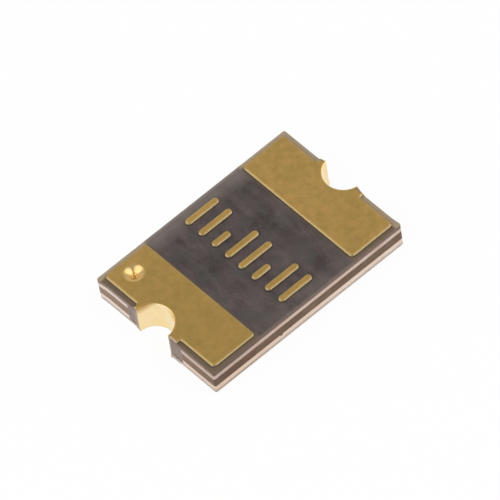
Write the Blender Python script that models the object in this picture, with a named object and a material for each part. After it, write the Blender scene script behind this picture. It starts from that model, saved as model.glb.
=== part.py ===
"""Resettable fuse: a surface-mount polymer fuse, laminated and plated like a small circuit board.

Metres, +Z up. +X runs from the near end to the far end, +Y to the back. The two lower terminal
pads stand on z = 0. The current path is near pads, upper blind via, upper foil, polymer core,
lower foil, lower blind via, far pads. Each end's plated half hole joins its upper and lower pads.
"""

import math

import bmesh
import bpy
from mathutils.geometry import delaunay_2d_cdt

MM = 0.001

# Sawn body and its layers
LENGTH = 4.60 * MM
WIDTH = 3.14 * MM
CORE_THICKNESS = 0.209 * MM
FOIL_THICKNESS = 0.105 * MM
INSULATION_THICKNESS = 0.078 * MM
SAWN_CORNER_RADIUS = 0.03 * MM

# Etched copper of the pads and marks, with the rounded upper edge that etching and plating leave.
# The rounding reaches further across the face than down the edge.
PAD_THICKNESS = 0.045 * MM
PAD_EDGE_HEIGHT = 0.028 * MM
PAD_EDGE_WIDTH = 0.040 * MM

# Terminal pads, set back from the sawn edges, with a tab that runs out to the end beside the hole
PAD_LENGTH = 1.030 * MM
PAD_END_MARGIN = 0.092 * MM
PAD_SIDE_MARGIN = 0.084 * MM
PAD_CORNER_RADIUS = 0.055 * MM
ANNULAR_RING = 0.130 * MM
TAB_FILLET_RADIUS = 0.040 * MM

# Plated half holes. The drill wandered a little, so each end has its own place for the hole.
HOLE_RADIUS = 0.430 * MM
PLATING_THICKNESS = 0.030 * MM
PLATING_RIM_RADIUS = 0.018 * MM
NEAR_HOLE_OUTSIDE_END = 0.024 * MM
NEAR_HOLE_Y = 0.075 * MM
FAR_HOLE_OUTSIDE_END = 0.120 * MM
FAR_HOLE_Y = 0.048 * MM

# Larger first holes through core and foils, filled with resin so that the plating touches neither
RESIN_RADIUS = 0.730 * MM
RESIN_HOLE_Y = 0.040 * MM

# Blind vias: tapered plated cups from a pad down to the foil
VIA_TOP_RADIUS = 0.200 * MM
VIA_FOOT_RADIUS = 0.110 * MM
VIA_PLATING = 0.026 * MM
VIA_FROM_END = 0.518 * MM
VIA_FROM_SIDE = 0.427 * MM

# Plain bars in place of the type marking
BAR_WIDTH = 0.155 * MM
BAR_PITCH = 0.360 * MM
LONG_BAR = 0.790 * MM
SHORT_BAR = 0.430 * MM
BAR_IS_LONG = (True, True, False, True, True, False, True, True)
BARS_FOOT_X = -0.380 * MM
BARS_CENTRE_Y = 0.025 * MM

# Facets per arc, coarse enough for parts this small
HOLE_SEGMENTS = 16
RESIN_SEGMENTS = 18
VIA_SEGMENTS = 20
BAR_END_SEGMENTS = 6
CORNER_SEGMENTS = 2
EDGE_SEGMENTS = 2

# Levels of the stack, from the surface that the part stands on
LOWER_INSULATION_Z = PAD_THICKNESS
LOWER_FOIL_Z = LOWER_INSULATION_Z + INSULATION_THICKNESS
CORE_Z = LOWER_FOIL_Z + FOIL_THICKNESS
UPPER_FOIL_Z = CORE_Z + CORE_THICKNESS
UPPER_INSULATION_Z = UPPER_FOIL_Z + FOIL_THICKNESS
BODY_TOP_Z = UPPER_INSULATION_Z + INSULATION_THICKNESS
TOTAL_HEIGHT = BODY_TOP_Z + PAD_THICKNESS

# The tab is as wide as the plated hole and a ring of copper on either side of it
TAB_HALF_WIDTH = HOLE_RADIUS + PLATING_THICKNESS + ANNULAR_RING

# Signs along X of the two ends
NEAR = -1
FAR = 1


# Flat outlines

def arc(centre, radius, start, end, segments):
    """Points on an arc, both ends included. Angles are in radians from the first axis."""
    points = []
    for step in range(segments + 1):
        angle = start + (end - start) * step / segments
        points.append((centre[0] + radius * math.cos(angle), centre[1] + radius * math.sin(angle)))
    return points


def circle(centre, radius, segments):
    """Points on a full circle."""
    return arc(centre, radius, 0, 2 * math.pi, segments)[:-1]


def hole_centre(end):
    """Centre of an end's drilled hole as (distance inwards from the end, y)."""
    if end == NEAR:
        return (-NEAR_HOLE_OUTSIDE_END, NEAR_HOLE_Y)
    return (-FAR_HOLE_OUTSIDE_END, FAR_HOLE_Y)


def resin_centre(end):
    """Centre of an end's resin-filled hole as (distance inwards from the end, y)."""
    return (hole_centre(end)[0], RESIN_HOLE_Y)


def bite(centre, radius, segments):
    """The stretch of a circle inside the body, from its -Y end to its +Y end, in end coordinates."""
    half_angle = math.acos(-centre[0] / radius)
    return arc(centre, radius, -half_angle, half_angle, segments)


def hole_bite(end, radius):
    """The stretch of a drilled hole's circle inside the body, in end coordinates."""
    return bite(hole_centre(end), radius, HOLE_SEGMENTS)


def resin_bite(end):
    """The stretch of the resin-filled hole's circle inside the body, in end coordinates."""
    return bite(resin_centre(end), RESIN_RADIUS, RESIN_SEGMENTS)


def from_end(end, points):
    """Turn end coordinates, which count inwards from an end, into X and Y, counter-clockwise."""
    placed = [(end * (LENGTH / 2 - inwards), y) for inwards, y in points]
    area = sum(a[0] * b[1] - b[0] * a[1] for a, b in zip(placed, placed[1:] + placed[:1]))
    return placed if area > 0 else placed[::-1]


def body_outline(near_bite, far_bite):
    """The sawn rectangle with a bite out of each end."""
    x = LENGTH / 2 - SAWN_CORNER_RADIUS
    y = WIDTH / 2 - SAWN_CORNER_RADIUS
    quarter = math.pi / 2
    outline = arc((x, -y), SAWN_CORNER_RADIUS, -quarter, 0, CORNER_SEGMENTS)
    outline += [(LENGTH / 2 - inwards, y_bite) for inwards, y_bite in far_bite]
    outline += arc((x, y), SAWN_CORNER_RADIUS, 0, quarter, CORNER_SEGMENTS)
    outline += arc((-x, y), SAWN_CORNER_RADIUS, quarter, 2 * quarter, CORNER_SEGMENTS)
    outline += [(inwards - LENGTH / 2, y_bite) for inwards, y_bite in reversed(near_bite)]
    outline += arc((-x, -y), SAWN_CORNER_RADIUS, 2 * quarter, 3 * quarter, CORNER_SEGMENTS)
    return outline


def pad_outline(end, inset):
    """A terminal pad. The inset draws in its etched edges, not the sawn tab or the drilled hole."""
    half = WIDTH / 2 - PAD_SIDE_MARGIN - PAD_CORNER_RADIUS
    outer = PAD_END_MARGIN + PAD_CORNER_RADIUS
    inner = PAD_END_MARGIN + PAD_LENGTH - PAD_CORNER_RADIUS
    corner = PAD_CORNER_RADIUS - inset
    fillet = TAB_FILLET_RADIUS + inset
    fillet_x = PAD_END_MARGIN - TAB_FILLET_RADIUS
    fillet_y = TAB_HALF_WIDTH + TAB_FILLET_RADIUS
    quarter = math.pi / 2
    outline = hole_bite(end, HOLE_RADIUS + PLATING_THICKNESS)
    outline.append((0, TAB_HALF_WIDTH - inset))
    outline += arc((fillet_x, fillet_y), fillet, -quarter, 0, CORNER_SEGMENTS)
    outline += arc((outer, half), corner, 2 * quarter, quarter, CORNER_SEGMENTS)
    outline += arc((inner, half), corner, quarter, 0, CORNER_SEGMENTS)
    outline += arc((inner, -half), corner, 0, -quarter, CORNER_SEGMENTS)
    outline += arc((outer, -half), corner, -quarter, -2 * quarter, CORNER_SEGMENTS)
    outline += arc((fillet_x, -fillet_y), fillet, 0, quarter, CORNER_SEGMENTS)
    outline.append((0, inset - TAB_HALF_WIDTH))
    return from_end(end, outline)


def bar_outline(length, inset):
    """A round-ended bar along X that starts at the foot line of the marks, centred on y = 0."""
    radius = BAR_WIDTH / 2
    foot = (BARS_FOOT_X + radius, 0)
    head = (BARS_FOOT_X + length - radius, 0)
    quarter = math.pi / 2
    outline = arc(head, radius - inset, -quarter, quarter, BAR_END_SEGMENTS)
    outline += arc(foot, radius - inset, quarter, 3 * quarter, BAR_END_SEGMENTS)
    return outline


def etched_edge():
    """(height, inset) steps up an etched copper edge that is rounded at the top."""
    steps = [(0, 0)]
    for step in range(EDGE_SEGMENTS + 1):
        angle = math.pi / 2 * step / EDGE_SEGMENTS
        height = PAD_THICKNESS - PAD_EDGE_HEIGHT * (1 - math.sin(angle))
        steps.append((height, PAD_EDGE_WIDTH * (1 - math.cos(angle))))
    return steps


# Solids from outlines

def cap_triangles(loops):
    """Triangles that fill the first loop and leave the others open, as indices into all points."""
    points = [(x / MM, y / MM) for loop in loops for x, y in loop]
    edges = []
    owner = []
    for number, loop in enumerate(loops):
        start = len(owner)
        count = len(loop)
        edges += [(start + i, start + (i + 1) % count) for i in range(count)]
        owner += [number] * count
    filled = delaunay_2d_cdt(points, edges, [], 1, 1e-7)
    source = [indices[0] for indices in filled[3]]
    triangles = [[source[corner] for corner in face] for face in filled[2]]
    return [t for t in triangles if {owner[corner] for corner in t} not in [{n} for n in range(1, len(loops))]]


def slab(name, levels, material, z=0, y=0):
    """A solid through a pile of levels, each a height and its loops: the outline, then any holes."""
    mesh = bmesh.new()
    piled = []
    for height, loops in levels:
        piled.append([[mesh.verts.new((px, py, height)) for px, py in loop] for loop in loops])
    for lower, upper in zip(piled, piled[1:]):
        for low_ring, high_ring in zip(lower, upper):
            for i in range(len(low_ring)):
                j = (i + 1) % len(low_ring)
                mesh.faces.new((low_ring[i], low_ring[j], high_ring[j], high_ring[i]))
    for rings, (_, loops) in ((piled[0], levels[0]), (piled[-1], levels[-1])):
        corners = [vertex for ring in rings for vertex in ring]
        for triangle in cap_triangles(loops):
            mesh.faces.new([corners[i] for i in triangle])
    return finish(name, mesh, material, z, y)


def revolve(name, profile, segments, centre, z, material):
    """A solid of revolution about an upright axis. The profile starts and ends on the axis."""
    mesh = bmesh.new()
    rings = []
    for radius, height in profile[1:-1]:
        ring = [mesh.verts.new((px, py, height)) for px, py in circle(centre, radius, segments)]
        rings.append(ring)
    foot = mesh.verts.new((centre[0], centre[1], profile[0][1]))
    head = mesh.verts.new((centre[0], centre[1], profile[-1][1]))
    for i in range(segments):
        j = (i + 1) % segments
        mesh.faces.new((foot, rings[0][j], rings[0][i]))
        for lower, upper in zip(rings, rings[1:]):
            mesh.faces.new((lower[i], lower[j], upper[j], upper[i]))
        mesh.faces.new((rings[-1][i], rings[-1][j], head))
    return finish(name, mesh, material, z, 0)


def finish(name, mesh, material, z, y):
    """Turn a finished bmesh into a named object that faces outwards, at its height and place."""
    bmesh.ops.recalc_face_normals(mesh, faces=mesh.faces)
    data = bpy.data.meshes.new(name)
    mesh.to_mesh(data)
    mesh.free()
    data.materials.append(material)
    piece = bpy.data.objects.new(name, data)
    piece.location = (0, y, z)
    bpy.context.collection.objects.link(piece)
    return piece


def flip(levels, thickness):
    """The same levels turned upside down."""
    return [(thickness - height, loops) for height, loops in reversed(levels)]


# Blind vias, shared by the pads and insulation that they pass through

def via_centre(end):
    """Where an end's blind via stands, in X and Y."""
    return (end * (LENGTH / 2 - VIA_FROM_END), WIDTH / 2 - VIA_FROM_SIDE)


def via_radius(depth):
    """Outer radius of the tapered via at a depth below its pad's face."""
    taper = (VIA_TOP_RADIUS - VIA_FOOT_RADIUS) / (PAD_THICKNESS + INSULATION_THICKNESS)
    return VIA_TOP_RADIUS - taper * depth


def via_loop(end, depth):
    """The via's circle at a depth below its pad's face."""
    return circle(via_centre(end), via_radius(depth), VIA_SEGMENTS)


def via_profile():
    """Half section of the plated cup, from the middle of its foot up to the middle of its dimple."""
    height = PAD_THICKNESS + INSULATION_THICKNESS
    floor = VIA_PLATING
    floor_radius = VIA_FOOT_RADIUS - VIA_PLATING
    rim_radius = VIA_TOP_RADIUS - VIA_PLATING
    middle = (floor_radius + 0.35 * (rim_radius - floor_radius), floor + 0.45 * (height - floor))
    return [
        (0, 0),
        (VIA_FOOT_RADIUS, 0),
        (VIA_TOP_RADIUS, height),
        (rim_radius, height),
        middle,
        (floor_radius, floor + 0.1 * (height - floor)),
        (floor_radius * 0.6, floor),
        (0, floor),
    ]


# Pieces

def make_layer(name, thickness, bites, z, material):
    """A flat layer of the body with a bite out of each end."""
    outline = body_outline(*bites)
    return slab(name, [(0, [outline]), (thickness, [outline])], material, z)


def make_insulation(name, via_end, z, material, upside_down):
    """An outer insulating layer, with the tapered hole of its blind via."""
    outline = body_outline(
        hole_bite(NEAR, HOLE_RADIUS + PLATING_THICKNESS),
        hole_bite(FAR, HOLE_RADIUS + PLATING_THICKNESS),
    )
    levels = [
        (0, [outline, via_loop(via_end, PAD_THICKNESS + INSULATION_THICKNESS)]),
        (INSULATION_THICKNESS, [outline, via_loop(via_end, PAD_THICKNESS)]),
    ]
    if upside_down:
        levels = flip(levels, INSULATION_THICKNESS)
    return slab(name, levels, material, z)


def make_resin_plug(name, end, material):
    """The ring of resin between a plated half hole and the core and foils."""
    inner = hole_bite(end, HOLE_RADIUS + PLATING_THICKNESS)
    outline = from_end(end, resin_bite(end) + inner[::-1])
    height = CORE_THICKNESS + 2 * FOIL_THICKNESS
    return slab(name, [(0, [outline]), (height, [outline])], material, LOWER_FOIL_Z)


def make_pad(name, end, z, material, with_via, upside_down):
    """An etched terminal pad with rounded edges."""
    levels = []
    for height, inset in etched_edge():
        loops = [pad_outline(end, inset)]
        if with_via:
            loops.append(via_loop(end, PAD_THICKNESS - height))
        levels.append((height, loops))
    if upside_down:
        levels = flip(levels, PAD_THICKNESS)
    return slab(name, levels, material, z)


def make_half_hole_plating(name, end, material):
    """The copper half tube that joins an end's upper and lower pads, with softened rims."""
    outer = hole_bite(end, HOLE_RADIUS + PLATING_THICKNESS)
    levels = []
    for height, opened in (
        (0, PLATING_RIM_RADIUS),
        (PLATING_RIM_RADIUS, 0),
        (TOTAL_HEIGHT - PLATING_RIM_RADIUS, 0),
        (TOTAL_HEIGHT, PLATING_RIM_RADIUS),
    ):
        inner = hole_bite(end, HOLE_RADIUS + opened)
        levels.append((height, [from_end(end, outer + inner[::-1])]))
    return slab(name, levels, material)


def make_blind_via(name, end, material, upside_down):
    """The plated cup from a pad to its electrode foil."""
    profile = via_profile()
    if upside_down:
        profile = [(radius, -height) for radius, height in profile]
    z = LOWER_FOIL_Z if upside_down else UPPER_INSULATION_Z
    return revolve(name, profile, VIA_SEGMENTS, via_centre(end), z, material)


def make_bars(material):
    """The row of plain bars across the middle of the top."""
    bars = []
    count = len(BAR_IS_LONG)
    for number, is_long in enumerate(BAR_IS_LONG):
        length = LONG_BAR if is_long else SHORT_BAR
        levels = [(height, [bar_outline(length, inset)]) for height, inset in etched_edge()]
        y = BARS_CENTRE_Y + BAR_PITCH * ((count - 1) / 2 - number)
        bars.append(slab(f"mark_bar_{number + 1}", levels, material, BODY_TOP_Z, y))
    return bars


# Materials, with colours read off the photograph

def make_material(name, colour, roughness, metallic):
    """A Principled material. The colour is linear RGB."""
    material = bpy.data.materials.new(name)
    material.use_nodes = True
    shader = material.node_tree.nodes["Principled BSDF"]
    shader.inputs["Base Color"].default_value = (*colour, 1)
    shader.inputs["Roughness"].default_value = roughness
    shader.inputs["Metallic"].default_value = metallic
    return material


def build():
    """Make every piece and hang it on one empty."""
    gold = make_material("gold_plating", (0.60, 0.43, 0.16), 0.35, 1.0)
    foil = make_material("electrode_foil", (0.62, 0.50, 0.44), 0.40, 1.0)
    polymer = make_material("conductive_polymer", (0.16, 0.11, 0.085), 0.65, 0.0)
    laminate = make_material("insulating_laminate", (0.10, 0.085, 0.082), 0.55, 0.0)
    resin = make_material("hole_fill_resin", (0.24, 0.20, 0.19), 0.45, 0.0)

    resin_bites = (resin_bite(NEAR), resin_bite(FAR))
    pieces = [
        make_layer("ptc_core", CORE_THICKNESS, resin_bites, CORE_Z, polymer),
        make_layer("upper_electrode_foil", FOIL_THICKNESS, resin_bites, UPPER_FOIL_Z, foil),
        make_layer("lower_electrode_foil", FOIL_THICKNESS, resin_bites, LOWER_FOIL_Z, foil),
        make_insulation("upper_insulation", NEAR, UPPER_INSULATION_Z, laminate, False),
        make_insulation("lower_insulation", FAR, LOWER_INSULATION_Z, laminate, True),
        make_resin_plug("near_resin_plug", NEAR, resin),
        make_resin_plug("far_resin_plug", FAR, resin),
        make_pad("near_top_pad", NEAR, BODY_TOP_Z, gold, True, False),
        make_pad("far_top_pad", FAR, BODY_TOP_Z, gold, False, False),
        make_pad("near_bottom_pad", NEAR, 0, gold, False, True),
        make_pad("far_bottom_pad", FAR, 0, gold, True, True),
        make_half_hole_plating("near_half_hole_plating", NEAR, gold),
        make_half_hole_plating("far_half_hole_plating", FAR, gold),
        make_blind_via("upper_blind_via", NEAR, gold, False),
        make_blind_via("lower_blind_via", FAR, gold, True),
    ]
    pieces += make_bars(gold)

    fuse = bpy.data.objects.new("resettable_fuse", None)
    fuse.empty_display_size = LENGTH / 2
    bpy.context.collection.objects.link(fuse)
    for piece in pieces:
        piece.parent = fuse


for leftover in list(bpy.data.objects):
    bpy.data.objects.remove(leftover, do_unlink=True)
build()
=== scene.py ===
"""Looks of the resettable fuse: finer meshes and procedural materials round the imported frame.

Metres, in the frame's axes. +X runs from the near end to the far end, +Z is up, and the lower pads
stand on z = 0. Every CAD node is replaced by a finer mesh of the same size in the same place.
"""

import math

import bmesh
import bpy
from mathutils import Matrix, Vector, noise
from mathutils.geometry import delaunay_2d_cdt


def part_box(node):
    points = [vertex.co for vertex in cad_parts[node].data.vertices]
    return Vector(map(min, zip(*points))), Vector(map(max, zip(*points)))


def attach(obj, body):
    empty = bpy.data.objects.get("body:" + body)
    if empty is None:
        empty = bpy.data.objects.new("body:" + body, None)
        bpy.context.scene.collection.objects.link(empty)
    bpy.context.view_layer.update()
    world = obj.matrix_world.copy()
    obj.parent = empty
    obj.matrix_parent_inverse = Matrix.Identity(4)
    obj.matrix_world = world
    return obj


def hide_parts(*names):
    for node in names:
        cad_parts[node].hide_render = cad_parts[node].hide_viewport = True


MM = 0.001
NEAR = -1
FAR = 1

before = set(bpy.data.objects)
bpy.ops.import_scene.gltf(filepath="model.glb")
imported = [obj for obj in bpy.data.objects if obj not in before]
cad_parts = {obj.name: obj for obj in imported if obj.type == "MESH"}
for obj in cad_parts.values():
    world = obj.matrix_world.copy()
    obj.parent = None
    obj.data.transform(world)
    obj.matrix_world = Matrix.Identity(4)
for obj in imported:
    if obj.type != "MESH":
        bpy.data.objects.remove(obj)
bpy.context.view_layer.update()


# Sizes read from the frame

class DrilledHole:
    """A hole drilled through one end, from the box of the piece that fills the part inside."""

    def __init__(self, node, end):
        low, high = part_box(node)
        reach = high.x - low.x
        half = (high.y - low.y) / 2
        self.radius = (half * half + reach * reach) / (2 * reach)
        self.outside = self.radius - reach
        self.y = (high.y + low.y) / 2
        self.end = end


BODY_LOW, BODY_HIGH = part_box("upper_insulation")
END_X = BODY_HIGH.x
SIDE_Y = BODY_HIGH.y
TOTAL_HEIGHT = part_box("near_half_hole_plating")[1].z
END_MM = END_X / MM
SIDE_MM = SIDE_Y / MM
TOP_MM = TOTAL_HEIGHT / MM
HOLES = {
    NEAR: DrilledHole("near_half_hole_plating", NEAR),
    FAR: DrilledHole("far_half_hole_plating", FAR),
}
RESINS = {
    NEAR: DrilledHole("near_resin_plug", NEAR),
    FAR: DrilledHole("far_resin_plug", FAR),
}

# Sizes that no box gives. The roundings are a little softer than the solids have them.
PLATING_THICKNESS = 0.030 * MM
PLATING_RIM_RADIUS = 0.012 * MM
PAD_END_MARGIN = 0.092 * MM
PAD_CORNER_RADIUS = 0.075 * MM
PAD_EDGE_HEIGHT = 0.028 * MM
PAD_EDGE_WIDTH = 0.058 * MM
BAR_EDGE_WIDTH = 0.055 * MM
TAB_HALF_WIDTH = 0.590 * MM
TAB_FILLET_RADIUS = 0.040 * MM
TAB_END_WEAR = 0.60
UNWORN_BESIDE_TAB = 0.010 * MM
WEAR_RUN_IN = 0.050 * MM
SAWN_CORNER_RADIUS = 0.040 * MM
VIA_FOOT_RADIUS = 0.110 * MM
VIA_PLATING = 0.026 * MM
VIA_FLARE = 0.014 * MM
VIA_LIP = 0.004 * MM
VIA_PIT_RADIUS = 0.058 * MM
VIA_SHOULDER_DEPTH = 0.074 * MM
VIA_SHOULDER_CURVE = 1.5
VIA_BOWL = ((0.93, 0.74), (0.84, 0.85), (0.68, 0.93), (0.48, 0.98), (0.25, 0.995), (0.0, 1.0))

# Fineness of the meshes
HOLE_SEGMENTS = 72
RESIN_SEGMENTS = 72
VIA_SEGMENTS = 72
VIA_SHOULDER_STEPS = 16
CORNER_SEGMENTS = 6
BAR_END_SEGMENTS = 16
EDGE_SEGMENTS = 5
RESIN_STEPS = 12
RESIN_LAYERS = 4
FOIL_LAYERS = 4
POLYMER_LAYERS = 7
SAWN_SPACING = 0.020 * MM
ETCHED_SPACING = 0.030 * MM
SHARP_DEGREES = 35
DRILLED_SHARP_DEGREES = 50
EVEN_NORMALS_WEIGHT = 90

# How the ends of a pile are filled with triangles
INSIDE_THE_LOOPS = 1
SAME_POINT_MM = 1e-7

# Unevenness of the worked edges, each with its wavelength. An outline counts as not etched within
# so many radii of a drilled hole's centre, and so close to a sawn end.
SAW_WANDER = 0.0012 * MM
POLYMER_WAVE = 0.06 * MM
FOIL_WAVE = 0.09 * MM
LAMINATE_WANDER = SAW_WANDER * 1.5
LAMINATE_WAVE = 0.11 * MM
ETCH_WANDER = 0.0022 * MM
ETCH_WAVE = 0.09 * MM
NOT_ETCHED_SHARE = 1.02
NOT_ETCHED_AT_END = 0.001 * MM
RESIN_SAG = 0.008 * MM
EDGE_WEAR_WIDTH = 0.014 * MM
EDGE_WEAR_HEIGHT = 0.012 * MM

# Flare at the foot of a half hole's plating: heights in millimetres, and the share of it there
FOOT_FLARE = 0.020 * MM
FOOT_FLARE_STEPS = ((0, 0.65), (0.011, 1.0), (0.06, 0.7), (0.11, 0.25), (0.18, 0))

# Burrs that the saw left at the ends: end, y, reach along y, length at the top and at the foot
BURRS = (
    (NEAR, 1.570 * MM, 0.170 * MM, 0.034 * MM, 0.008 * MM),
    (FAR, 0.470 * MM, 0.120 * MM, 0.026 * MM, 0.020 * MM),
    (FAR, -0.380 * MM, 0.120 * MM, 0.030 * MM, 0.020 * MM),
    (FAR, -1.570 * MM, 0.160 * MM, 0.018 * MM, 0.014 * MM),
)
BURR_DEPTH = 0.120 * MM

# Painted sheen on a laminate face, paler towards its rims between the pads: axis and side, the rim's
# place on it, how far inside the rim the paleness starts and is full, and its strength
RIM_UNEVENNESS = 0.08 * MM
RIM_RAMPS = (
    ("Y", 1.0, SIDE_Y, 0.48 * MM, 0.18 * MM, 0.39),
    ("Y", 1.0, SIDE_Y, 0.17 * MM, 0.06 * MM, 0.78),
    ("Y", -1.0, SIDE_Y, 0.40 * MM, 0.18 * MM, 0.10),
    ("Y", -1.0, SIDE_Y, 0.10 * MM, 0.05 * MM, 0.28),
)

# The same painted sheen for the margins round the pads
PAD_RIM_RAMPS = (
    ("X", 1.0, END_X, 0.17 * MM, 0.13 * MM, 0.88),
    ("Y", 1.0, SIDE_Y, 0.15 * MM, 0.11 * MM, 1.0),
)

# Middle of a stretch of the sawn long sides that came out darker
DARK_STRETCH_X = -1.70 * MM

# Middle of the chip in the lower foil's front edge, in millimetres
CHIP_PLACE = (-0.68, -1.57, 0.225)

# Linear colours, from the photograph's tones under plain light
MATT_GOLD = (0.785, 0.500, 0.156)
MATT_GOLD_OLIVE = (0.722, 0.486, 0.148)
MATT_GOLD_ORANGE = (0.825, 0.504, 0.166)
# Colour of real stains, also used for the painted shade towards the near end and the front
MATT_GOLD_STAIN_AND_SHADE = (0.560, 0.358, 0.106)
EDGE_GOLD = (0.355, 0.288, 0.165)
# Painted shade at the foot of the pads' and bars' edges
FOOT_SHADE_BROWN = (0.150, 0.090, 0.040)
BRIGHT_GOLD = (0.930, 0.700, 0.340)
BRIGHT_GOLD_PALE = (0.930, 0.750, 0.450)
# Painted shade at the back of the near notch's upper rim
RIM_SHADE_GOLD = (0.500, 0.300, 0.090)
VIA_GOLD = (0.815, 0.545, 0.195)
VIA_GOLD_PALE = (0.830, 0.585, 0.260)
# Painted shade in the pit of the blind vias
VIA_PIT_SHADE_GOLD = (0.600, 0.340, 0.095)
SAWN_COPPER = (0.420, 0.300, 0.220)
TAB_END = (0.410, 0.300, 0.195)
TOP_DARK = (0.037, 0.026, 0.024)
TOP_LIGHT = (0.104, 0.076, 0.072)
TOP_GREEN = (0.067, 0.060, 0.054)
# Painted sheen along the upper laminate's rims: TOP_RIM between the pads, TOP_PAD_RIM round them
TOP_RIM = (0.290, 0.240, 0.210)
TOP_PAD_SHADE = (0.157, 0.104, 0.060)
TOP_PAD_RIM = (0.412, 0.312, 0.202)
SAWN_DARK = (0.120, 0.073, 0.053)
SAWN_LIGHT = (0.190, 0.124, 0.095)
# Painted light on the near end's sawn face
SAWN_END_LIGHT = (0.250, 0.170, 0.135)
SAWN_DEEP = (0.096, 0.054, 0.039)
LOWER_FACE_DARK = (0.075, 0.062, 0.058)
LOWER_FACE_LIGHT = (0.125, 0.105, 0.098)
LOWER_FACE_GREEN = (0.098, 0.096, 0.088)
# Painted sheen along the lower laminate's rims: LOWER_RIM between the pads, LOWER_PAD_RIM round them
LOWER_RIM = (0.240, 0.195, 0.170)
LOWER_PAD_SHADE = (0.160, 0.125, 0.100)
LOWER_PAD_RIM = (0.300, 0.240, 0.180)
LOWER_SAWN_DARK = (0.420, 0.340, 0.285)
LOWER_SAWN_LIGHT = (0.580, 0.480, 0.410)
LOWER_SAWN_RUDDY = (0.465, 0.360, 0.275)
# Painted light on the near end's sawn face
LOWER_SAWN_END_LIGHT = (0.425, 0.350, 0.295)
LOWER_SAWN_DEEP = (0.374, 0.261, 0.173)
FOIL_COPPER = (0.551, 0.385, 0.304)
FOIL_SILVER = (0.718, 0.588, 0.520)
FOIL_DULL = (0.510, 0.390, 0.320)
LOWER_FOIL_COPPER = (0.725, 0.540, 0.425)
LOWER_FOIL_SILVER = (0.860, 0.730, 0.628)
LOWER_FOIL_DULL = (0.800, 0.620, 0.490)
# Painted light on the near end's sawn face
FOIL_END_LIGHT = (0.800, 0.710, 0.650)
POLYMER_DARK = (0.110, 0.065, 0.039)
POLYMER_LIGHT = (0.205, 0.137, 0.089)
POLYMER_RED = (0.150, 0.076, 0.046)
POLYMER_DEEP = (0.122, 0.056, 0.032)
# Painted light on the near end's sawn face
POLYMER_END_LIGHT = (0.295, 0.192, 0.132)
RESIN_DARK = (0.140, 0.098, 0.074)
RESIN_BROWN = (0.194, 0.125, 0.084)
RESIN_GREY = (0.290, 0.195, 0.151)

# Floor, sky, lamps and camera
FLOOR_HALF = 1.5
FLOOR_COLOUR = (0.92, 0.92, 0.92)
FLOOR_OWN_LIGHT = 0.95
FLOOR_HEIGHT = 0.0005 * MM
SKY_LOW = 0.88
SKY_HIGH = 0.38
LAMP_DISTANCE = 80 * MM
CAMERA_AZIMUTH = -34.364
CAMERA_ELEVATION = 52.829
CAMERA_ROLL = -9.866
CAMERA_DISTANCE = 250 * MM
CAMERA_TARGET = (0.1518 * MM, 0.1787 * MM, 0.35 * MM)
CAMERA_PIXELS = 13795.5
PHOTO_PIXELS = 500
SENSOR = 36.0

# Soft square lamps: name, direction, size, and the light added to a face turned to it
LAMPS = (
    ("key", (-0.69, 0.28, 0.60), 112 * MM, 0.68),
    ("fill", (0.60, -0.55, 0.60), 102 * MM, 0.61),
)


# Flat outlines

def arc(centre, radius, start, end, segments):
    """Points on an arc, both ends included. Angles are in radians from the first axis."""
    points = []
    for step in range(segments + 1):
        angle = start + (end - start) * step / segments
        points.append((centre[0] + radius * math.cos(angle), centre[1] + radius * math.sin(angle)))
    return points


def circle(centre, radius, segments):
    """Points on a full circle."""
    return arc(centre, radius, 0, 2 * math.pi, segments)[:-1]


def bite(hole, radius, segments, inset=0):
    """The stretch of a circle about a hole inside the body, from -Y to +Y, in end coordinates.

    With an inset it starts and stops that far inside the end plane.
    """
    half_angle = math.acos((hole.outside + inset) / radius)
    return arc((-hole.outside, hole.y), radius, -half_angle, half_angle, segments)


def from_end(end, points):
    """Turn end coordinates, which count inwards from an end, into X and Y, counter-clockwise."""
    placed = [(end * (END_X - inwards), y) for inwards, y in points]
    area = sum(a[0] * b[1] - b[0] * a[1] for a, b in zip(placed, placed[1:] + placed[:1]))
    return placed if area > 0 else placed[::-1]


def splits(loop, spacing):
    """How many parts each side of a loop is split into, so that none is longer than asked."""
    sides = zip(loop, loop[1:] + loop[:1])
    return [max(1, math.ceil(math.dist(a, b) / spacing)) for a, b in sides]


def dense(loop, counts):
    """The same loop with each side split into so many parts."""
    points = []
    for (x0, y0), (x1, y1), count in zip(loop, loop[1:] + loop[:1], counts):
        for step in range(count):
            share = step / count
            points.append((x0 + (x1 - x0) * share, y0 + (y1 - y0) * share))
    return points


def outward(loop):
    """Unit normals of a counter-clockwise loop, one for each point."""
    normals = []
    for index, _ in enumerate(loop):
        before = Vector(loop[index - 1])
        after = Vector(loop[(index + 1) % len(loop)])
        chord = (after - before).normalized()
        normals.append((chord.y, -chord.x))
    return normals


def wander(loop, amount, wavelength, z, stretch=1.0):
    """The loop with its points moved along their normals by smooth noise."""
    moved = []
    for (x, y), (nx, ny) in zip(loop, outward(loop)):
        place = Vector((x / wavelength, y / wavelength, z * stretch / wavelength))
        shift = amount * noise.noise(place)
        moved.append((x + nx * shift, y + ny * shift))
    return moved


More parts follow.
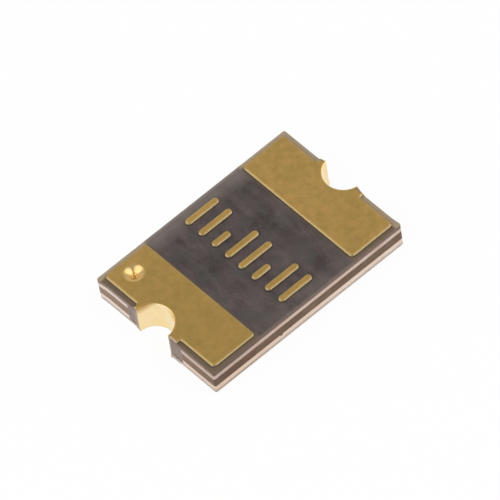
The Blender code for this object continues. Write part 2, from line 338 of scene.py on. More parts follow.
def body_half(hole, segments, inset):
    """One end's half of the sawn body, counter-clockwise, turned so that the end is on +X.

    The inset draws in the sawn sides, but not beside the hole, where the pad's tab covers them.
    """
    x = END_X - SAWN_CORNER_RADIUS
    y = SIDE_Y - SAWN_CORNER_RADIUS
    corner = SAWN_CORNER_RADIUS - inset
    quarter = math.pi / 2
    bitten = bite(hole, hole.radius, segments)
    bitten = [(END_X - inwards, hole.end * across) for inwards, across in bitten]
    whole = max(TAB_HALF_WIDTH, *(abs(across) for _, across in bitten)) + UNWORN_BESIDE_TAB
    worn = whole + WEAR_RUN_IN
    half = arc((x, -y), corner, -quarter, 0, CORNER_SEGMENTS)
    half += [(END_X - inset, -worn), (END_X, -whole)]
    half += bitten[::hole.end]
    half += [(END_X, whole), (END_X - inset, worn)]
    half += arc((x, y), corner, 0, quarter, CORNER_SEGMENTS)
    return half


def body_outline(holes, segments, inset=0):
    """The sawn rectangle with a bite out of each end."""
    near_half = [(-x, -y) for x, y in body_half(holes[NEAR], segments, inset)]
    return body_half(holes[FAR], segments, inset) + near_half


def pad_outline(node, end, inset):
    """A terminal pad. The inset draws in its etched edges and sawn tab, not the drilled hole."""
    low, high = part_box(node)
    half = high.y - PAD_CORNER_RADIUS
    outer = PAD_END_MARGIN + PAD_CORNER_RADIUS
    inner = high.x - low.x - PAD_CORNER_RADIUS
    corner = PAD_CORNER_RADIUS - inset
    fillet = TAB_FILLET_RADIUS + inset
    fillet_x = PAD_END_MARGIN - TAB_FILLET_RADIUS
    fillet_y = TAB_HALF_WIDTH + TAB_FILLET_RADIUS
    quarter = math.pi / 2
    hole = HOLES[end]
    worn = inset * TAB_END_WEAR
    outline = bite(hole, hole.radius, HOLE_SEGMENTS, worn)
    sawn = [(worn, TAB_HALF_WIDTH - inset)]
    etched = arc((fillet_x, fillet_y), fillet, -quarter, 0, CORNER_SEGMENTS)
    etched += arc((outer, half), corner, 2 * quarter, quarter, CORNER_SEGMENTS)
    etched += arc((inner, half), corner, quarter, 0, CORNER_SEGMENTS)
    etched += arc((inner, -half), corner, 0, -quarter, CORNER_SEGMENTS)
    etched += arc((outer, -half), corner, -quarter, -2 * quarter, CORNER_SEGMENTS)
    etched += arc((fillet_x, -fillet_y), fillet, 0, quarter, CORNER_SEGMENTS)
    closing = [(worn, inset - TAB_HALF_WIDTH)]
    return from_end(end, outline + sawn + etched + closing)


def bar_outline(node, inset):
    """A round-ended bar along X that fills its node's box."""
    low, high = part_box(node)
    radius = (high.y - low.y) / 2
    y = (high.y + low.y) / 2
    quarter = math.pi / 2
    outline = arc((high.x - radius, y), radius - inset, -quarter, quarter, BAR_END_SEGMENTS)
    outline += arc((low.x + radius, y), radius - inset, quarter, 3 * quarter, BAR_END_SEGMENTS)
    return outline


def sagged(start, stop):
    """Points between two corners of the resin's sawn end, which has sagged a little inwards."""
    points = []
    for step in range(1, RESIN_STEPS):
        share = step / RESIN_STEPS
        y = start[1] + (stop[1] - start[1]) * share
        points.append((RESIN_SAG * math.sin(math.pi * share), y))
    return points


def resin_outline(end):
    """The ring of resin round a plated half hole, with its two sawn ends."""
    hole = HOLES[end]
    outer = bite(RESINS[end], RESINS[end].radius, RESIN_SEGMENTS)
    inner = bite(hole, hole.radius, HOLE_SEGMENTS)
    outline = outer + sagged(outer[-1], inner[-1]) + inner[::-1] + sagged(inner[0], outer[0])
    return from_end(end, outline)


def rounded_edge(thickness, width, height):
    """(height, inset) steps up an edge that is rounded off at the top."""
    steps = [(0, 0)]
    for step in range(EDGE_SEGMENTS + 1):
        angle = math.pi / 2 * step / EDGE_SEGMENTS
        steps.append((thickness - height * (1 - math.sin(angle)), width * (1 - math.cos(angle))))
    return steps


def burr(place):
    """How far the saw's burrs push a point of the body along X."""
    push = 0
    for end, y, reach, top, foot in BURRS:
        across = math.exp(-(((place.y - y) / reach) ** 2))
        inwards = (END_X - end * place.x) / BURR_DEPTH
        if inwards < 1:
            up = place.z / TOTAL_HEIGHT
            push += end * across * (1 - inwards) ** 2 * (foot + (top - foot) * up)
    return push


# Meshes from outlines

def cap_triangles(loops):
    """Triangles that fill the first loop and leave the others open, as indices into all points."""
    points = [(x / MM, y / MM) for loop in loops for x, y in loop]
    edges = []
    owner = []
    for number, loop in enumerate(loops):
        start = len(owner)
        count = len(loop)
        edges += [(start + i, start + (i + 1) % count) for i in range(count)]
        owner += [number] * count
    filled = delaunay_2d_cdt(points, edges, [], INSIDE_THE_LOOPS, SAME_POINT_MM)
    source = [indices[0] for indices in filled[3]]
    triangles = [[source[corner] for corner in face] for face in filled[2]]
    holes = [{number} for number in range(1, len(loops))]
    return [t for t in triangles if {owner[corner] for corner in t} not in holes]


def finish_piece(name, mesh, node, material, sharp_degrees=SHARP_DEGREES):
    """Turn a bmesh into a shaded piece that rides on the root and stands for its CAD node."""
    bmesh.ops.recalc_face_normals(mesh, faces=mesh.faces)
    for vertex in mesh.verts:
        vertex.co.x += burr(vertex.co)
    data = bpy.data.meshes.new(name)
    mesh.to_mesh(data)
    mesh.free()
    data.shade_smooth()
    data.set_sharp_from_angle(angle=math.radians(sharp_degrees))
    data.materials.append(material)
    piece = bpy.data.objects.new(name, data)
    bpy.context.collection.objects.link(piece)
    even = piece.modifiers.new("even_normals", "WEIGHTED_NORMAL")
    even.keep_sharp = True
    even.weight = EVEN_NORMALS_WEIGHT
    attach(piece, "root")
    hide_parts(node)
    return piece


def pile(levels):
    """A closed bmesh through a pile of levels, each a height and its loops: outline, then holes."""
    mesh = bmesh.new()
    piled = []
    for height, loops in levels:
        piled.append([[mesh.verts.new((x, y, height)) for x, y in loop] for loop in loops])
    for lower, upper in zip(piled, piled[1:]):
        for low_ring, high_ring in zip(lower, upper):
            for i in range(len(low_ring)):
                j = (i + 1) % len(low_ring)
                mesh.faces.new((low_ring[i], low_ring[j], high_ring[j], high_ring[i]))
    for rings, (_, loops) in ((piled[0], levels[0]), (piled[-1], levels[-1])):
        corners = [vertex for ring in rings for vertex in ring]
        for triangle in cap_triangles(loops):
            mesh.faces.new([corners[i] for i in triangle])
    return mesh


def revolve(profile, segments, centre):
    """A closed bmesh of revolution. The profile starts and ends on the axis."""
    mesh = bmesh.new()
    rings = []
    for radius, height in profile[1:-1]:
        ring = circle(centre, radius, segments)
        rings.append([mesh.verts.new((x, y, height)) for x, y in ring])
    foot = mesh.verts.new((centre[0], centre[1], profile[0][1]))
    head = mesh.verts.new((centre[0], centre[1], profile[-1][1]))
    for i in range(segments):
        j = (i + 1) % segments
        mesh.faces.new((foot, rings[0][j], rings[0][i]))
        for lower, upper in zip(rings, rings[1:]):
            mesh.faces.new((lower[i], lower[j], upper[j], upper[i]))
        mesh.faces.new((rings[-1][i], rings[-1][j], head))
    return mesh


# Materials

def new_material(name):
    """An empty node material with a Principled shader. Returns the material and its tree."""
    material = bpy.data.materials.new(name)
    material.use_nodes = True
    return material, material.node_tree


def add(tree, kind, settings=None, inputs=None):
    """A node with its settings, and its inputs set to values or linked from sockets."""
    node = tree.nodes.new(kind)
    for key, value in (settings or {}).items():
        setattr(node, key, value)
    for key, value in (inputs or {}).items():
        if isinstance(value, bpy.types.NodeSocket):
            tree.links.new(value, node.inputs[key])
        else:
            node.inputs[key].default_value = value
    return node


def millimetres(tree, stretch=(1, 1, 1)):
    """Object coordinates in millimetres, stretched by a factor along each axis."""
    place = add(tree, "ShaderNodeTexCoord").outputs["Object"]
    scale = tuple(factor / MM for factor in stretch)
    node = add(tree, "ShaderNodeVectorMath", {"operation": "MULTIPLY"}, {0: place, 1: scale})
    return node.outputs[0]


def grain(tree, place, scale, detail=2.0, roughness=0.5, distortion=0.0):
    """Noise with so many cells in a millimetre."""
    inputs = {"Vector": place, "Scale": scale, "Detail": detail, "Roughness": roughness}
    inputs["Distortion"] = distortion
    return add(tree, "ShaderNodeTexNoise", None, inputs).outputs["Fac"]


def spread(tree, value, low, high, out_low=0.0, out_high=1.0):
    """A value stretched from one range to another, and held within it."""
    inputs = {"Value": value, "From Min": low, "From Max": high}
    inputs.update({"To Min": out_low, "To Max": out_high})
    return add(tree, "ShaderNodeMapRange", None, inputs).outputs["Result"]


def blend(tree, share, first, second):
    """A mix of two colours."""
    node = add(tree, "ShaderNodeMix", {"data_type": "RGBA"}, {"Factor": share})
    for key, colour in (("A", first), ("B", second)):
        socket = [s for s in node.inputs if s.name == key and s.type == "RGBA"][0]
        if isinstance(colour, bpy.types.NodeSocket):
            tree.links.new(colour, socket)
        else:
            socket.default_value = (*colour, 1)
    return [s for s in node.outputs if s.type == "RGBA"][0]


def total(tree, *terms):
    """The sum of values, each given as (socket, weight)."""
    result = None
    for socket, weight in terms:
        inputs = {0: socket, 1: weight, 2: 0.0 if result is None else result}
        result = add(tree, "ShaderNodeMath", {"operation": "MULTIPLY_ADD"}, inputs).outputs[0]
    return result


def calculate(tree, operation, first, second=0.0):
    """One math operation on two values."""
    inputs = {0: first, 1: second}
    return add(tree, "ShaderNodeMath", {"operation": operation}, inputs).outputs[0]


def along(tree, axis):
    """Object coordinate along an axis, in millimetres."""
    return add(tree, "ShaderNodeSeparateXYZ", None, {0: millimetres(tree)}).outputs[axis]


def from_middle(tree, axis, middle=0.0):
    """Distance along an axis from its middle, or from the place given, in millimetres."""
    return calculate(tree, "ABSOLUTE", calculate(tree, "SUBTRACT", along(tree, axis), middle / MM))


def facing(tree, axis, kind="Normal"):
    """Size of the normal's part along an axis: 1 where the face looks straight along it."""
    normal = add(tree, "ShaderNodeNewGeometry").outputs[kind]
    part = add(tree, "ShaderNodeSeparateXYZ", None, {0: normal}).outputs[axis]
    return calculate(tree, "ABSOLUTE", part)


def rim_sheen(tree, uneven, ramps):
    """Painted sheen: paleness of a laminate face towards its rims, by ramps as listed at the top."""
    worn = None
    for axis, sign, limit, start, stop, strength in ramps:
        reach = total(tree, (along(tree, axis), sign), (uneven, -RIM_UNEVENNESS / MM))
        ramp = spread(tree, reach, (limit - start) / MM, (limit - stop) / MM, 0.0, strength)
        worn = ramp if worn is None else calculate(tree, "MAXIMUM", worn, ramp)
    return worn


def bump(tree, height, distance, strength=1.0):
    """A bump normal from a height between 0 and 1 that stands for so many metres."""
    inputs = {"Height": height, "Distance": distance, "Strength": strength}
    return add(tree, "ShaderNodeBump", None, inputs).outputs["Normal"]


def surface(tree, colour, roughness, normal, metallic, specular=0.5):
    """Join colour, roughness and normal to the Principled shader."""
    shader = tree.nodes["Principled BSDF"]
    tree.links.new(colour, shader.inputs["Base Color"])
    tree.links.new(roughness, shader.inputs["Roughness"])
    tree.links.new(normal, shader.inputs["Normal"])
    shader.inputs["Metallic"].default_value = metallic
    shader.inputs["Specular IOR Level"].default_value = specular


def end_plane(tree):
    """1 on the sawn faces in the two end planes, 0 elsewhere."""
    at_end = spread(tree, from_middle(tree, "X"), END_MM - 0.004, END_MM - 0.002)
    sawn = spread(tree, facing(tree, "X", "True Normal"), 0.75, 0.90)
    return calculate(tree, "MULTIPLY", at_end, sawn)


def tab_end(tree, uneven):
    """1 on the last hundredths of a pad's tab, where the saw smeared copper over the gold."""
    reach = total(tree, (from_middle(tree, "X"), 1.0), (uneven, -0.02))
    return spread(tree, reach, END_MM - 0.050, END_MM - 0.025, 0.0, 0.8)


def near_front_shade(tree):
    """Share of painted shade on the matt gold, more towards the near end and the front."""
    place = total(tree, (along(tree, "X"), 1.0), (along(tree, "Y"), 0.8))
    return spread(tree, place, -2.4, 1.6, 0.40, 0.0)


def foot_shade(tree):
    """1 at the foot of a pad's or a bar's edge: painted shade, dark brown where the edge meets the
    laminate.
    """
    foot = (BODY_HIGH.z - TOTAL_HEIGHT / 2) / MM
    height = from_middle(tree, "Z", TOTAL_HEIGHT / 2)
    return spread(tree, height, foot + 0.002, foot + 0.018, 0.75, 0.0)


def matt_gold_material():
    """Matt gold of pads and bars: clouded on the faces, brighter where the edges are rounded."""
    material, tree = new_material("matt_gold")
    place = millimetres(tree)
    cloud = grain(tree, place, 2.6, 3.0, 0.55)
    patch = grain(tree, place, 6.5, 2.0, 0.5, 0.4)
    stain = grain(tree, place, 7.0, 4.0, 0.65)
    crystal = grain(tree, place, 70.0, 3.0, 0.6)
    pit = grain(tree, place, 22.0, 2.0, 0.5)

    face = blend(tree, spread(tree, cloud, 0.38, 0.62), MATT_GOLD_OLIVE, MATT_GOLD)
    face = blend(tree, spread(tree, patch, 0.42, 0.70), face, MATT_GOLD_ORANGE)
    face = blend(tree, spread(tree, stain, 0.40, 0.76, 0.0, 0.75), face, MATT_GOLD_STAIN_AND_SHADE)
    # Painted shade: darker towards the near end and the front
    face = blend(tree, near_front_shade(tree), face, MATT_GOLD_STAIN_AND_SHADE)
    colour = blend(tree, spread(tree, facing(tree, "Z"), 0.86, 0.985), EDGE_GOLD, face)
    # Painted shade at the foot of the edges
    colour = blend(tree, foot_shade(tree), colour, FOOT_SHADE_BROWN)
    colour = blend(tree, tab_end(tree, patch), colour, TAB_END)
    colour = blend(tree, end_plane(tree), colour, SAWN_COPPER)

    rough = total(tree, (crystal, 0.6), (cloud, 0.4))
    rough = spread(tree, rough, 0.3, 0.7, 0.34, 0.46)
    height = total(tree, (crystal, 0.35), (pit, 0.65))
    surface(tree, colour, rough, bump(tree, height, 0.0022 * MM, 0.55), 1.0)
    return material


def notch_rim_shade(tree, uneven):
    """Share of painted shade at the upper rim of a notch at its back, fading downwards and towards the
    front.
    """
    at_back = spread(tree, along(tree, "Y"), 0.28, 0.47, 0.0, 0.22)
    height = total(tree, (along(tree, "Z"), 1.0), (uneven, 0.08), (at_back, 1.0))
    return spread(tree, height, TOP_MM + 0.05, TOP_MM + 0.23)


def via_pit_shade(tree, uneven):
    """Share of painted shade in the pit of a blind via."""
    shoulder = (TOTAL_HEIGHT / 2 - VIA_SHOULDER_DEPTH) / MM
    height = total(tree, (from_middle(tree, "Z", TOTAL_HEIGHT / 2), 1.0), (uneven, 0.02))
    return spread(tree, height, shoulder - 0.03, shoulder + 0.02, 0.85, 0.0)


def bright_gold_material(name, shades, zone, sheens, level):
    """Bright gold of a drilled hole, with faint drill lines and a zone of painted shade in a deeper
    gold.

    Where the face is as level as the last two numbers say, it turns into the pads' matt gold.
    """
    shaded_gold, shade, pale = shades
    material, tree = new_material(name)
    place = millimetres(tree)
    upright = millimetres(tree, (1.0, 1.0, 0.12))
    cloud = grain(tree, place, 4.0, 3.0, 0.5)
    line = grain(tree, upright, 30.0, 2.0, 0.5)
    crystal = grain(tree, place, 80.0, 2.0, 0.5)

    colour = blend(tree, spread(tree, cloud, 0.35, 0.65), shade, pale)
    # Painted shade in the zone that the caller gives
    colour = blend(tree, zone(tree, cloud), colour, shaded_gold)
    colour = blend(tree, spread(tree, facing(tree, "Z"), *level), colour, MATT_GOLD)
    colour = blend(tree, end_plane(tree), colour, SAWN_COPPER)

    uneven = total(tree, (line, 0.5), (crystal, 0.5))
    sheen = spread(tree, uneven, 0.35, 0.65, *sheens)
    sheen = calculate(tree, "MAXIMUM", sheen, spread(tree, facing(tree, "Z"), *level, 0.0, 0.42))
    height = total(tree, (line, 0.6), (crystal, 0.4))
    surface(tree, colour, sheen, bump(tree, height, 0.0015 * MM, 0.5), 1.0)
    return material


def long_sides(tree, share):
    """A share on the sawn long sides, 0 elsewhere."""
    return calculate(tree, "MULTIPLY", share, spread(tree, facing(tree, "Y"), 0.5, 0.9))


def ruddy_sides(tree, strength):
    """Share of a ruddier tone on the sawn long sides, rising towards the near end."""
    return long_sides(tree, spread(tree, along(tree, "X"), -2.0, 1.0, strength, 0.0))


def dark_stretch(tree):
    """Share of a darker tone along a stretch of the sawn long sides, close to the near end."""
    beside = from_middle(tree, "X", DARK_STRETCH_X)
    return long_sides(tree, spread(tree, beside, 0.30, 0.52, 0.5, 0.0))


def laminate_material(name, face, rims, sawn, streaks):
    """Dark insulating laminate: a satin face with faint wipe marks, a painted sheen on its rims, and
    paler sides.
    """
    dark, light, green = face
    rim, pad_shade, pad_rim = rims
    sawn_dark, sawn_light, sawn_ruddy, sawn_end_light, sawn_deep = sawn
    material, tree = new_material(name)
    place = millimetres(tree)
    smear = millimetres(tree, (1.0, 0.28, 1.0))
    fibres = millimetres(tree, (3.0, 3.0, 16.0))
    cloud = grain(tree, place, 1.8, 4.0, 0.6)
    wipe = grain(tree, smear, 3.4, 3.0, 0.55, 0.8)
    patch = grain(tree, place, 4.2, 3.0, 0.55, 0.3)
    speck = grain(tree, place, 46.0, 2.0, 0.6)
    fibre = grain(tree, fibres, 5.0, 3.0, 0.65)

    shade = total(tree, (cloud, 0.5), (wipe, 0.5 * streaks), (speck, 0.25))
    top = blend(tree, spread(tree, shade, 0.49, 0.73), dark, light)
    top = blend(tree, spread(tree, patch, 0.50, 0.66, 0.0, 0.8), top, green)
    # Painted sheen along the rims
    top = blend(tree, rim_sheen(tree, cloud, RIM_RAMPS), top, rim)
    margin = spread(tree, from_middle(tree, "X"), END_MM - 1.18, END_MM - 1.10, 0.0, 0.9)
    top = blend(tree, margin, top, pad_shade)
    # Painted sheen on the margins round the pads
    margin = calculate(tree, "MULTIPLY", margin, rim_sheen(tree, cloud, PAD_RIM_RAMPS))
    top = blend(tree, margin, top, pad_rim)
    side = blend(tree, spread(tree, fibre, 0.35, 0.65), sawn_dark, sawn_light)
    side = blend(tree, ruddy_sides(tree, 0.9), side, sawn_ruddy)
    side = blend(tree, dark_stretch(tree), side, sawn_deep)
    # Painted light on the near end's sawn face, paler towards its back
    side = blend(tree, near_end_lighting(tree, 0.2, 0.7), side, sawn_end_light)
    colour = blend(tree, spread(tree, facing(tree, "Z"), 0.35, 0.90), side, top)

    rough = total(tree, (speck, 0.2), (wipe, 0.15))
    rough = spread(tree, rough, 0.10, 0.25, 0.42, 0.62)
    height = total(tree, (speck, 0.6), (fibre, 0.4))
    surface(tree, colour, rough, bump(tree, height, 0.0025 * MM, 0.5), 0.0, 0.45)
    return material


def near_end_lighting(tree, front, back):
    """Share of painted light and shade on the near end's sawn face, given at its front and back corner.
    """
    dusty = spread(tree, along(tree, "Y"), -SIDE_MM, SIDE_MM, front, back)
    at_end = spread(tree, along(tree, "X"), 0.004 - END_MM, 0.010 - END_MM, 1.0, 0.0)
    return calculate(tree, "MULTIPLY", dusty, at_end)


def torn_over(tree, uneven):
    """1 along the front, where the saw tore the upper laminate a little over its foil."""
    height = total(tree, (along(tree, "Z"), 1.0), (uneven, 0.008))
    edge = BODY_LOW.z / MM
    torn = spread(tree, height, edge - 0.016, edge - 0.004, 0.0, 0.85)
    at_front = spread(tree, along(tree, "Y"), 0.010 - SIDE_MM, 0.020 - SIDE_MM, 1.0, 0.0)
    return calculate(tree, "MULTIPLY", torn, at_front)


def chipped(tree, uneven):
    """1 in a small chip at the front, where the core was torn over the lower foil."""
    inputs = {0: millimetres(tree), 1: CHIP_PLACE}
    distance = add(tree, "ShaderNodeVectorMath", {"operation": "DISTANCE"}, inputs).outputs["Value"]
    reach = total(tree, (distance, 1.0), (uneven, 0.03))
    return spread(tree, reach, 0.042, 0.052, 0.9, 0.0)


def foil_material(name, copper, silver, ruddy, dull):
    """Sawn edge of plated copper foil: pinkish silver smeared along the cut, and a small chip."""
    material, tree = new_material(name)
    place = millimetres(tree)
    smear = grain(tree, millimetres(tree, (1.0, 1.0, 14.0)), 6.0, 4.0, 0.6)
    cloud = grain(tree, place, 3.0, 2.0, 0.5)
    colour = blend(tree, spread(tree, smear, 0.34, 0.66), copper, silver)
    colour = blend(tree, spread(tree, cloud, 0.55, 0.75, 0.0, 0.5), colour, copper)
    colour = blend(tree, ruddy_sides(tree, ruddy), colour, copper)
    colour = blend(tree, dark_stretch(tree), colour, dull)
    # Painted light: the near end's foil paler towards its back
    colour = blend(tree, near_end_lighting(tree, 0.0, 0.85), colour, FOIL_END_LIGHT)
    # Painted shade: the near end's foil darker towards its front
    colour = blend(tree, near_end_lighting(tree, 0.6, 0.1), colour, copper)
    colour = blend(tree, torn_over(tree, smear), colour, SAWN_LIGHT)
    colour = blend(tree, chipped(tree, smear), colour, POLYMER_DARK)
    rough = spread(tree, smear, 0.3, 0.7, 0.48, 0.34)
    surface(tree, colour, rough, bump(tree, smear, 0.0030 * MM, 0.5), 1.0)
    return material


def polymer_material():
    """Sawn conductive polymer: matt brown with redder patches, a little torn by the blade."""
    material, tree = new_material("conductive_polymer")
    place = millimetres(tree)
    tear = grain(tree, millimetres(tree, (1.0, 1.0, 7.0)), 7.0, 4.0, 0.65)
    cloud = grain(tree, place, 2.2, 3.0, 0.5)
    patch = grain(tree, place, 5.0, 3.0, 0.6)
    shade = total(tree, (tear, 0.6), (cloud, 0.4))
    colour = blend(tree, spread(tree, shade, 0.36, 0.64), POLYMER_DARK, POLYMER_LIGHT)
    colour = blend(tree, spread(tree, patch, 0.50, 0.64, 0.0, 0.8), colour, POLYMER_RED)
    colour = blend(tree, dark_stretch(tree), colour, POLYMER_DEEP)
    # Painted light on the near end's sawn face
    colour = blend(tree, near_end_lighting(tree, 0.25, 1.0), colour, POLYMER_END_LIGHT)
    rough = spread(tree, tear, 0.3, 0.7, 0.60, 0.75)
    surface(tree, colour, rough, bump(tree, tear, 0.0050 * MM, 0.6), 0.0, 0.3)
    return material


def resin_material():
    """Hole-fill resin: smooth mauve grey with a soft cloud in it, browner towards the front."""
    material, tree = new_material("hole_fill_resin")
    place = millimetres(tree)
    cloud = grain(tree, place, 3.6, 3.0, 0.5)
    speck = grain(tree, place, 40.0, 2.0, 0.5)
    colour = blend(tree, spread(tree, along(tree, "Y"), -0.7, 0.8), RESIN_BROWN, RESIN_GREY)
    colour = blend(tree, spread(tree, cloud, 0.36, 0.66, 0.75, 0.0), colour, RESIN_DARK)
    rough = spread(tree, speck, 0.3, 0.7, 0.30, 0.42)
    surface(tree, colour, rough, bump(tree, speck, 0.0015 * MM, 0.4), 0.0, 0.5)
    return material


# Pieces

def layer_heights(z0, z1, layers):
    """Heights that cut a piece into so many even layers, both faces included."""
    return [z0 + (z1 - z0) * step / layers for step in range(layers + 1)]


def make_core_layer(node, material, layers, wavelength):
    """The core or a foil, cut back round the resin, with a sawn wall that wanders a little."""
    low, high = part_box(node)
    outline = body_outline(RESINS, RESIN_SEGMENTS)
    outline = dense(outline, splits(outline, SAWN_SPACING))
    levels = []
    for z in layer_heights(low.z, high.z, layers):
        levels.append((z, [wander(outline, SAW_WANDER, wavelength, z, stretch=3.0)]))
    return finish_piece(node + "_sawn", pile(levels), node, material)


def via_top_radius(node):
    """Half the width of a blind via at its pad's face, with the flare of its worn lip."""
    low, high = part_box(node)
    return (high.x - low.x) / 2 + VIA_FLARE


def via_loop(node, upper, z):
    """A blind via's circle at a height between its pad's face and its foil."""
    low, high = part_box(node)
    centre = ((low.x + high.x) / 2, (low.y + high.y) / 2)
    face_z, foil_z = (high.z, low.z) if upper else (low.z, high.z)
    share = (z - foil_z) / (face_z - foil_z)
    radius = VIA_FOOT_RADIUS + (via_top_radius(node) - VIA_FOOT_RADIUS) * share
    return circle(centre, radius, VIA_SEGMENTS)


def make_insulation(node, via_node, material, upper):
    """An outer layer with its via hole. Its outer edge is worn round where the saw broke it."""
    low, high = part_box(node)
    thickness = high.z - low.z
    counts = splits(body_outline(HOLES, HOLE_SEGMENTS), SAWN_SPACING)
    steps = [(0, 0), (thickness * 0.30, 0), (thickness * 0.60, 0)]
    steps += rounded_edge(thickness, EDGE_WEAR_WIDTH, EDGE_WEAR_HEIGHT)[1:]
    levels = []
    for height, inset in steps:
        z = low.z + height if upper else high.z - height
        outline = dense(body_outline(HOLES, HOLE_SEGMENTS, inset), counts)
        outline = wander(outline, LAMINATE_WANDER, LAMINATE_WAVE, z, stretch=2.0)
        levels.append((z, [outline, via_loop(via_node, upper, z)]))
    if not upper:
        levels.reverse()
    return finish_piece(node + "_cut", pile(levels), node, material)


def make_resin(node, end, material):
    """A resin ring with its sagged end faces."""
    low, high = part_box(node)
    outline = resin_outline(end)
    levels = [(z, [outline]) for z in layer_heights(low.z, high.z, RESIN_LAYERS)]
    return finish_piece(node + "_cast", pile(levels), node, material)


def make_pad(node, end, material, via_node=None):
    """An etched pad: rounded edges that wander a little, a sawn tab and a drilled bite."""
    low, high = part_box(node)
    upper = low.z > TOTAL_HEIGHT / 2
    counts = splits(pad_outline(node, end, 0), ETCHED_SPACING)
    levels = []
    for height, inset in rounded_edge(high.z - low.z, PAD_EDGE_WIDTH, PAD_EDGE_HEIGHT):
        z = low.z + height if upper else high.z - height
        outline = dense(pad_outline(node, end, inset), counts)
        loops = [etched_wander(outline, end)]
        if via_node:
            loops.append(via_loop(via_node, upper, z))
        levels.append((z, loops))
    if not upper:
        levels.reverse()
    return finish_piece(node + "_plated", pile(levels), node, material)


def etched_wander(outline, end):
    """Unevenness of an etched outline, none where the pad was sawn or drilled."""
    hole = HOLES[end]
    centre = Vector((end * (END_X + hole.outside), hole.y))
    moved = []
    for before, after in zip(outline, wander(outline, ETCH_WANDER, ETCH_WAVE, 0)):
        drilled = (Vector(before) - centre).length < hole.radius * NOT_ETCHED_SHARE
        sawn = abs(before[0]) > END_X - NOT_ETCHED_AT_END
        moved.append(before if drilled or sawn else after)
    return moved


def make_plating(node, end, material):
    """The plated half tube: a rounded rim at the top, and a foot that flares a little inwards."""
    hole = HOLES[end]
    inner_radius = hole.radius - PLATING_THICKNESS
    outer = bite(hole, hole.radius, HOLE_SEGMENTS)
    heights = [(height * MM, -FOOT_FLARE * share) for height, share in FOOT_FLARE_STEPS]
    heights += rounded_edge(TOTAL_HEIGHT, PLATING_RIM_RADIUS, PLATING_RIM_RADIUS)[1:]
    levels = []
    for z, opened in heights:
        inner = bite(hole, inner_radius + opened, HOLE_SEGMENTS)
        levels.append((z, [from_end(end, outer + inner[::-1])]))
    mesh = pile(levels)
    return finish_piece(node + "_wall", mesh, node, material, DRILLED_SHARP_DEGREES)


def make_via(node, material, upper):
    """The plated cup of a blind via: a soft shoulder that steepens into a small round pit."""
    low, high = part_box(node)
    centre = ((low.x + high.x) / 2, (low.y + high.y) / 2)
    top_radius = via_top_radius(node)
    height = high.z - low.z
    depth = height - VIA_PLATING
    mouth = top_radius - VIA_LIP
    profile = [(0, 0), (VIA_FOOT_RADIUS, 0), (top_radius, height), (mouth, height)]
    for step in range(1, VIA_SHOULDER_STEPS + 1):
        share = step / VIA_SHOULDER_STEPS
        radius = mouth + (VIA_PIT_RADIUS - mouth) * share
        profile.append((radius, height - VIA_SHOULDER_DEPTH * share ** VIA_SHOULDER_CURVE))
    for radius, share in VIA_BOWL:
        profile.append((VIA_PIT_RADIUS * radius, height - depth * share))
    profile = [(radius, low.z + z if upper else high.z - z) for radius, z in profile]
    mesh = revolve(profile, VIA_SEGMENTS, centre)
    return finish_piece(node + "_cup", mesh, node, material, DRILLED_SHARP_DEGREES)


def make_bar(node, material):
    """A plated bar with rounded, slightly uneven etched edges."""
    low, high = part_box(node)
    counts = splits(bar_outline(node, 0), ETCHED_SPACING)
    levels = []
    for height, inset in rounded_edge(high.z - low.z, BAR_EDGE_WIDTH, PAD_EDGE_HEIGHT):
        outline = dense(bar_outline(node, inset), counts)
        levels.append((low.z + height, [wander(outline, ETCH_WANDER, ETCH_WAVE, 0)]))
    return finish_piece(node + "_plated", pile(levels), node, material)


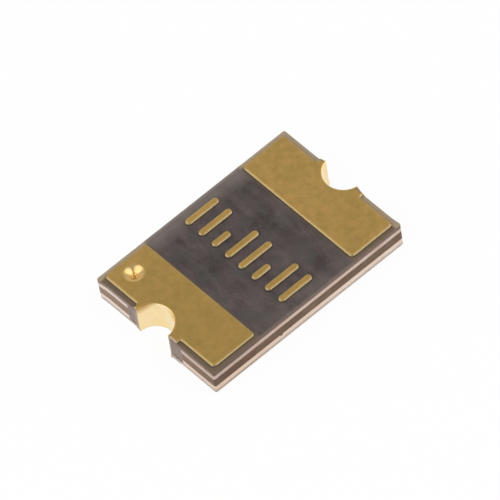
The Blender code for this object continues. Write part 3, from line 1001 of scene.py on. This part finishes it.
def make_pieces():
    """Every piece of the object, in the place of its CAD node."""
    matt = matt_gold_material()
    near_shades = (RIM_SHADE_GOLD, BRIGHT_GOLD, BRIGHT_GOLD_PALE)
    far_shades = (BRIGHT_GOLD, BRIGHT_GOLD, BRIGHT_GOLD_PALE)
    via_shades = (VIA_PIT_SHADE_GOLD, VIA_GOLD, VIA_GOLD_PALE)
    wall = ((0.17, 0.27), (0.85, 0.95))
    near_wall = bright_gold_material("near_bright_gold", near_shades, notch_rim_shade, *wall)
    far_wall = bright_gold_material("far_bright_gold", far_shades, notch_rim_shade, *wall)
    cup = bright_gold_material("via_gold", via_shades, via_pit_shade, (0.24, 0.32), (0.955, 0.985))
    upper = laminate_material(
        "upper_laminate",
        (TOP_DARK, TOP_LIGHT, TOP_GREEN),
        (TOP_RIM, TOP_PAD_SHADE, TOP_PAD_RIM),
        (SAWN_DARK, SAWN_LIGHT, SAWN_DARK, SAWN_END_LIGHT, SAWN_DEEP),
        1.0,
    )
    lower = laminate_material(
        "lower_laminate",
        (LOWER_FACE_DARK, LOWER_FACE_LIGHT, LOWER_FACE_GREEN),
        (LOWER_RIM, LOWER_PAD_SHADE, LOWER_PAD_RIM),
        (LOWER_SAWN_DARK, LOWER_SAWN_LIGHT, LOWER_SAWN_RUDDY, LOWER_SAWN_END_LIGHT, LOWER_SAWN_DEEP),
        0.5,
    )
    upper_foil = foil_material("upper_foil", FOIL_COPPER, FOIL_SILVER, 0.2, FOIL_DULL)
    lower_foil = foil_material("lower_foil", LOWER_FOIL_COPPER, LOWER_FOIL_SILVER, 0.9, LOWER_FOIL_DULL)
    polymer = polymer_material()
    resin = resin_material()

    make_core_layer("ptc_core", polymer, POLYMER_LAYERS, POLYMER_WAVE)
    for node, foil in (("upper_electrode_foil", upper_foil), ("lower_electrode_foil", lower_foil)):
        make_core_layer(node, foil, FOIL_LAYERS, FOIL_WAVE)
    make_insulation("upper_insulation", "upper_blind_via", upper, True)
    make_insulation("lower_insulation", "lower_blind_via", lower, False)
    make_resin("near_resin_plug", NEAR, resin)
    make_resin("far_resin_plug", FAR, resin)
    make_pad("near_top_pad", NEAR, matt, "upper_blind_via")
    make_pad("far_top_pad", FAR, matt)
    make_pad("near_bottom_pad", NEAR, matt)
    make_pad("far_bottom_pad", FAR, matt, "lower_blind_via")
    make_plating("near_half_hole_plating", NEAR, near_wall)
    make_plating("far_half_hole_plating", FAR, far_wall)
    make_via("upper_blind_via", cup, True)
    make_via("lower_blind_via", cup, False)
    for node in sorted(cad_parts):
        if node.startswith("mark_bar_"):
            make_bar(node, matt)


# Stage, light and camera

def floor_material():
    """Paper that the camera and mirrors see as white with a faint shadow, and clear from below."""
    material, tree = new_material("floor_paper")
    shader = tree.nodes["Principled BSDF"]
    shader.inputs["Base Color"].default_value = (*FLOOR_COLOUR, 1)
    shader.inputs["Roughness"].default_value = 0.9
    shader.inputs["Specular IOR Level"].default_value = 0.0
    light = add(tree, "ShaderNodeEmission", None, {"Color": (1, 1, 1, 1), "Strength": 1.0})
    path = add(tree, "ShaderNodeLightPath")
    seen = total(tree, (path.outputs["Is Camera Ray"], 1.0), (path.outputs["Is Glossy Ray"], 1.0))
    share = calculate(tree, "MULTIPLY", seen, FLOOR_OWN_LIGHT)
    mixed = add(tree, "ShaderNodeMixShader", None, {0: share})
    tree.links.new(shader.outputs[0], mixed.inputs[1])
    tree.links.new(light.outputs[0], mixed.inputs[2])
    below = add(tree, "ShaderNodeNewGeometry").outputs["Backfacing"]
    clear = add(tree, "ShaderNodeBsdfTransparent")
    sided = add(tree, "ShaderNodeMixShader", None, {0: below})
    tree.links.new(mixed.outputs[0], sided.inputs[1])
    tree.links.new(clear.outputs[0], sided.inputs[2])
    tree.links.new(sided.outputs[0], tree.nodes["Material Output"].inputs[0])
    return material


def make_floor():
    """A white floor, a hair above the pads' undersides, so that no two faces share a plane."""
    mesh = bpy.data.meshes.new("floor")
    corners = [(-1, -1), (1, -1), (1, 1), (-1, 1)]
    places = [(x * FLOOR_HALF, y * FLOOR_HALF, FLOOR_HEIGHT) for x, y in corners]
    mesh.from_pydata(places, [], [(0, 1, 2, 3)])
    mesh.materials.append(floor_material())
    floor = bpy.data.objects.new("floor", mesh)
    bpy.context.collection.objects.link(floor)


def make_world():
    """A pale tent: white at the horizon, dimmer overhead, and white where the camera sees it."""
    world = bpy.data.worlds.new("tent")
    bpy.context.scene.world = world
    world.use_nodes = True
    tree = world.node_tree
    way = add(tree, "ShaderNodeTexCoord").outputs["Generated"]
    z = add(tree, "ShaderNodeSeparateXYZ", None, {0: way}).outputs["Z"]
    level = spread(tree, z, 0.0, 0.75, SKY_LOW, SKY_HIGH)
    camera = add(tree, "ShaderNodeLightPath").outputs["Is Camera Ray"]
    strength = add(tree, "ShaderNodeMix", {"data_type": "FLOAT"}, {0: camera, 2: level, 3: 1.0})
    background = tree.nodes["Background"]
    background.inputs["Color"].default_value = (1, 1, 1, 1)
    tree.links.new(strength.outputs[0], background.inputs["Strength"])


def make_lamp(name, way, size, strength):
    """A soft square lamp, which adds so much light to a face turned to it."""
    data = bpy.data.lights.new(name, "AREA")
    data.shape = "SQUARE"
    data.size = size
    data.energy = strength * math.pi ** 2 * LAMP_DISTANCE ** 2
    lamp = bpy.data.objects.new(name, data)
    bpy.context.collection.objects.link(lamp)
    way = Vector(way).normalized()
    lamp.location = way * LAMP_DISTANCE
    lamp.rotation_mode = "QUATERNION"
    lamp.rotation_quaternion = way.to_track_quat("Z", "Y")
    return lamp


def make_lamps():
    """A soft key from the back left and a softer fill from the front right.

    Both miss the pads' mirror direction, so that the flat gold stays calm.
    """
    for name, way, size, strength in LAMPS:
        make_lamp(name, way, size, strength)


def make_camera():
    """The photograph's camera: far away, looking down, rolled a little."""
    data = bpy.data.cameras.new("camera")
    data.sensor_width = SENSOR
    data.lens = CAMERA_PIXELS / PHOTO_PIXELS * SENSOR
    data.clip_start = CAMERA_DISTANCE / 10
    data.clip_end = CAMERA_DISTANCE * 20
    camera = bpy.data.objects.new("camera", data)
    bpy.context.collection.objects.link(camera)
    azimuth = math.radians(CAMERA_AZIMUTH)
    elevation = math.radians(CAMERA_ELEVATION)
    back = Vector((
        math.sin(azimuth) * math.cos(elevation),
        -math.cos(azimuth) * math.cos(elevation),
        math.sin(elevation),
    ))
    level = (-back).to_track_quat("-Z", "Y").to_matrix().to_4x4()
    roll = Matrix.Rotation(math.radians(CAMERA_ROLL), 4, "Z")
    place = Vector(CAMERA_TARGET) + back * CAMERA_DISTANCE
    camera.matrix_world = Matrix.Translation(place) @ level @ roll
    bpy.context.scene.camera = camera


make_pieces()
make_floor()
make_world()
make_lamps()
make_camera()
bpy.context.scene.view_settings.view_transform = "Standard"
